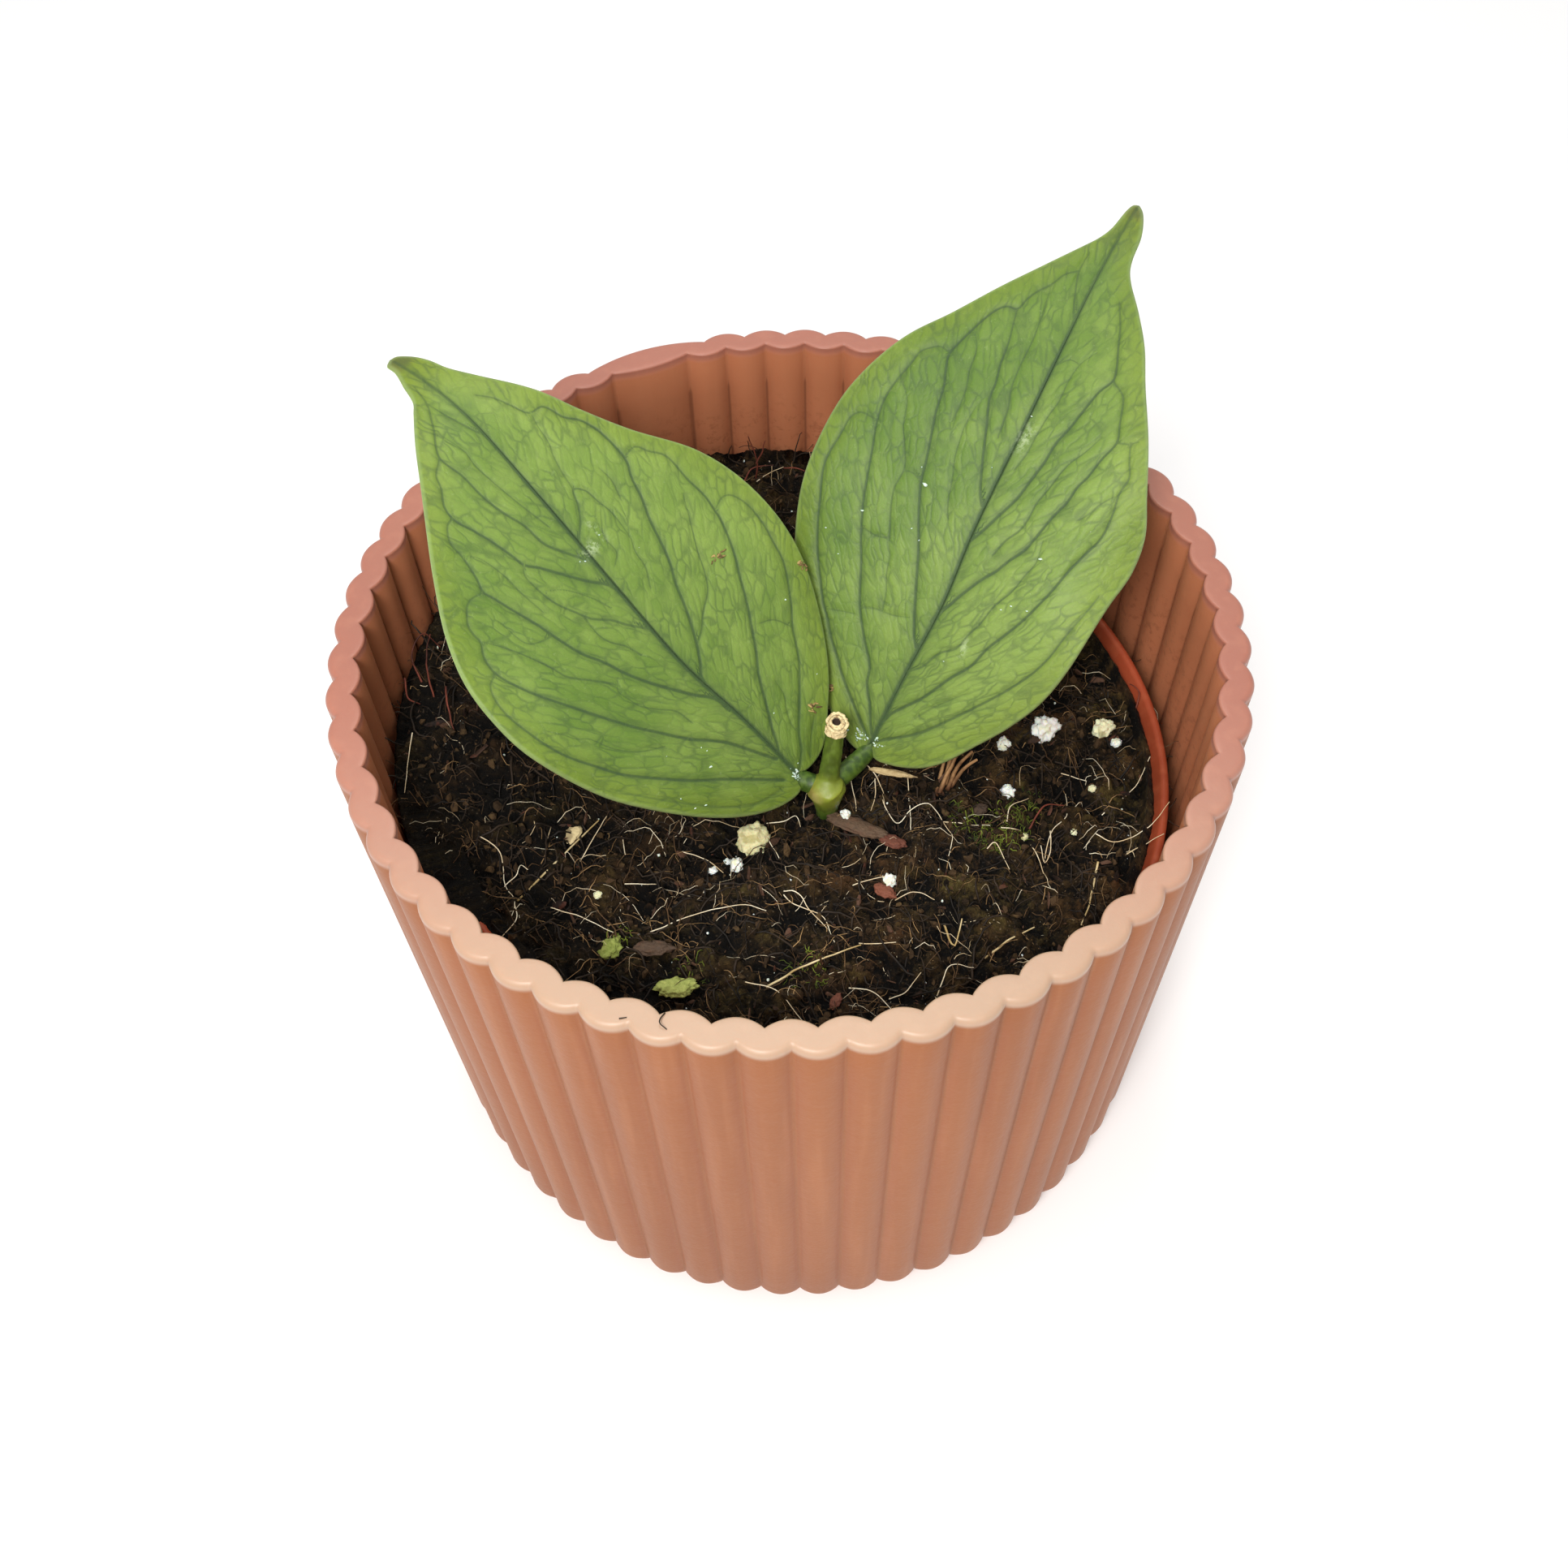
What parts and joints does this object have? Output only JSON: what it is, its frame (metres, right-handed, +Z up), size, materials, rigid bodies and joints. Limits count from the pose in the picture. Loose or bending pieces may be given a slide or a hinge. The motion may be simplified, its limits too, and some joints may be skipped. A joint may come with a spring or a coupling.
{
  "type": "potted hoya plant",
  "caption": "Young hoya cutting with broad netted leaves in a nursery pot that leans slightly inside a fluted cover pot.",
  "frame": {"origin": "centre of the cover pot's flat base", "axes": "+Z up along the cover pot's axis, -Y towards the front of the pot, +X to the right-hand leaf"},
  "size_m": [0.1098, 0.1098, 0.1144],
  "materials": {
    "cover_plastic": "matte salmon-pink plastic",
    "nursery_plastic": "thin terracotta-coloured plastic",
    "potting_soil": "damp dark peat with perlite, bark and fine roots",
    "stem": "green living stem with a dry tan cut",
    "leaf": "thick satin leaf with dark netted veins"
  },
  "bodies": {
    "root": {"cover_pot": "cover_plastic", "nursery_pot": "nursery_plastic", "soil": "potting_soil", "stem": "stem", "leaf_left": "leaf", "leaf_right": "leaf"}
  },
  "joints": []
}
